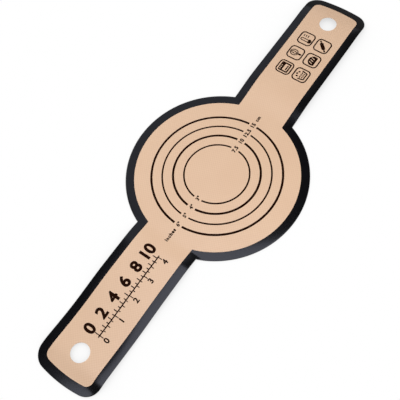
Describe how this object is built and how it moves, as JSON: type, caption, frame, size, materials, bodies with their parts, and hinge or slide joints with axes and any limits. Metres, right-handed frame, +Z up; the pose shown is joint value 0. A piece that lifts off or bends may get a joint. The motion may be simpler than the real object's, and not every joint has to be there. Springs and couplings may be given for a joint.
{
  "type": "silicone bread sling",
  "caption": "Flat silicone sling for lowering a loaf into a hot pot: a round base with a printed ring scale between long strap handles with hanging holes, which fold up and bend over the rim.",
  "frame": {"origin": "on the surface that the sling lies on, under the centre of the round base", "axes": "+X along the handles towards the right handle, +Z up out of the printed face, +Y to the back"},
  "size_m": [0.561, 0.21, 0.001],
  "materials": {
    "tan_silicone": "satin",
    "black_silicone": "satin",
    "glass_cloth": "woven",
    "print_ink": "matte"
  },
  "bodies": {
    "base": {"base_lower_coat": "tan_silicone", "base_glass_cloth": "glass_cloth", "base_upper_coat": "tan_silicone", "base_edge_band_front": "black_silicone", "base_edge_band_back": "black_silicone", "ring_1_back": "print_ink", "ring_1_front": "print_ink", "ring_2_back": "print_ink", "ring_2_front": "print_ink", "ring_3_back": "print_ink", "ring_3_front": "print_ink", "ring_4_back": "print_ink", "ring_4_front": "print_ink"},
    "left_handle": {"left_handle_lower_coat": "tan_silicone", "left_handle_glass_cloth": "glass_cloth", "left_handle_upper_coat": "tan_silicone", "left_handle_edge_band_front": "black_silicone", "left_handle_edge_band_back": "black_silicone"},
    "left_grip": {"left_grip_lower_coat": "tan_silicone", "left_grip_glass_cloth": "glass_cloth", "left_grip_upper_coat": "tan_silicone", "left_grip_edge_band": "black_silicone"},
    "right_handle": {"right_handle_lower_coat": "tan_silicone", "right_handle_glass_cloth": "glass_cloth", "right_handle_upper_coat": "tan_silicone", "right_handle_edge_band_front": "black_silicone", "right_handle_edge_band_back": "black_silicone"},
    "right_grip": {"right_grip_lower_coat": "tan_silicone", "right_grip_glass_cloth": "glass_cloth", "right_grip_upper_coat": "tan_silicone", "right_grip_edge_band": "black_silicone"}
  },
  "joints": [
    {"name": "left_neck_fold", "type": "hinge", "parent": "base", "child": "left_handle", "pos_m": [-0.09908, 0, 0.001], "axis": [0, 1, 0], "range_deg": [0, 115], "stiffness_Nm_per_rad": 0.01},
    {"name": "left_rim_fold", "type": "hinge", "parent": "left_handle", "child": "left_grip", "pos_m": [-0.1985, 0, 0], "axis": [0, -1, 0], "range_deg": [0, 135], "stiffness_Nm_per_rad": 0.01},
    {"name": "right_neck_fold", "type": "hinge", "parent": "base", "child": "right_handle", "pos_m": [0.09908, 0, 0.001], "axis": [0, -1, 0], "range_deg": [0, 115], "stiffness_Nm_per_rad": 0.01},
    {"name": "right_rim_fold", "type": "hinge", "parent": "right_handle", "child": "right_grip", "pos_m": [0.1985, 0, 0], "axis": [0, 1, 0], "range_deg": [0, 135], "stiffness_Nm_per_rad": 0.01}
  ]
}
